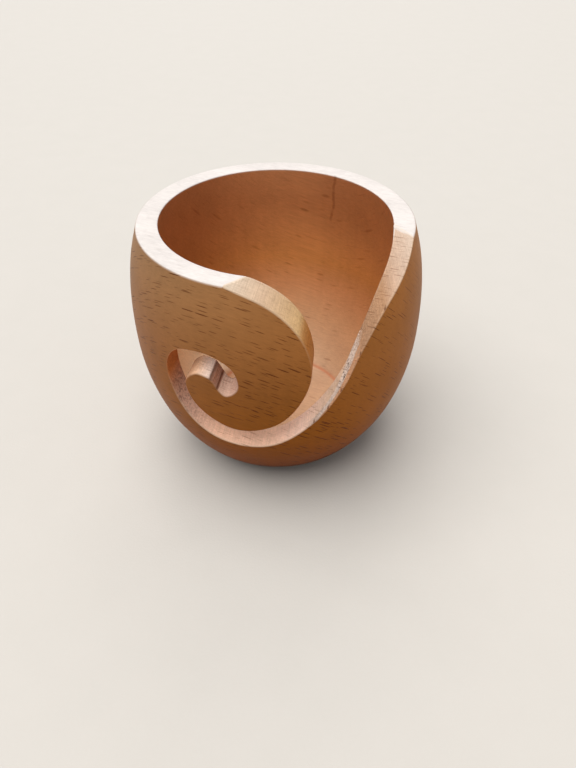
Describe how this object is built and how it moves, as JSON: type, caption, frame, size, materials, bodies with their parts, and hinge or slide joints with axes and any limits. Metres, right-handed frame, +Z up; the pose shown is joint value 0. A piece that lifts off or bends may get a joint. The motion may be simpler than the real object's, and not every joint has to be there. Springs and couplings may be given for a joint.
{
  "type": "yarn bowl",
  "caption": "Turned wooden bowl that keeps a ball of yarn in place while the yarn feeds out through a swirling slot to a round hole in its wall.",
  "frame": {"origin": "centre of the flat foot, on the table surface", "axes": "+Z up along the turning axis, -Y towards the front with the swirling slot, +X to the right seen from the front"},
  "size_m": [0.126, 0.126, 0.11],
  "materials": {
    "beech": "oiled beech, fine sanded outside, paler cut faces in the slot, satin sheen"
  },
  "bodies": {
    "root": {"yarn_bowl_body": "beech"}
  },
  "joints": []
}
